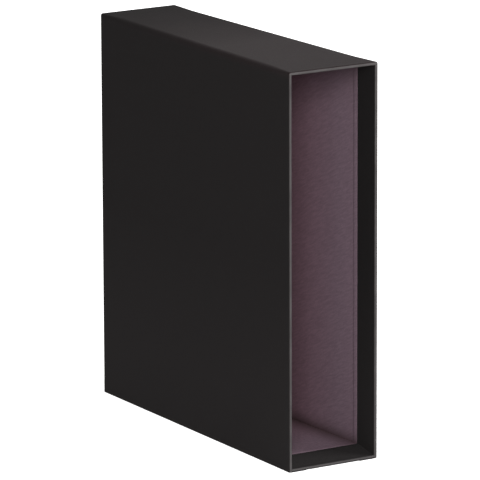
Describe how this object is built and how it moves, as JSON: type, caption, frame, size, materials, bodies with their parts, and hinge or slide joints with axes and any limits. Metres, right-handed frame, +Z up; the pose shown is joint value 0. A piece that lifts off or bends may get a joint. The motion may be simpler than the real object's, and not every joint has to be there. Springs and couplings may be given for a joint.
{
  "type": "binder slipcase",
  "caption": "Upright paper-covered board slipcase, open at one narrow side and slightly narrower at the back, that holds a wide A4 ring binder spine outwards.",
  "frame": {"origin": "middle of the footprint, at the height of the surface that the case stands on", "axes": "+Z up along the height, -Y out of the mouth, +X across the width towards the far side"},
  "size_m": [0.085, 0.304, 0.33],
  "materials": {
    "cover_paper": "smooth matt black covering paper",
    "lining_paper": "fine-grained mauve-brown lining paper",
    "grey_board": "dense grey board",
    "stay_tape": "brown gummed paper tape"
  },
  "bodies": {
    "root": {"near_side_board": "grey_board", "far_side_board": "grey_board", "top_board": "grey_board", "bottom_board": "grey_board", "back_board": "grey_board", "inner_floor_board": "grey_board", "top_near_stay": "stay_tape", "top_far_stay": "stay_tape", "bottom_near_stay": "stay_tape", "bottom_far_stay": "stay_tape", "back_near_stay": "stay_tape", "back_far_stay": "stay_tape", "back_top_stay": "stay_tape", "back_bottom_stay": "stay_tape", "cover_wrap": "cover_paper", "back_cover": "cover_paper", "base_cover": "cover_paper", "near_side_lining": "lining_paper", "far_side_lining": "lining_paper", "ceiling_lining": "lining_paper", "floor_lining": "lining_paper", "back_lining": "lining_paper"}
  },
  "joints": []
}
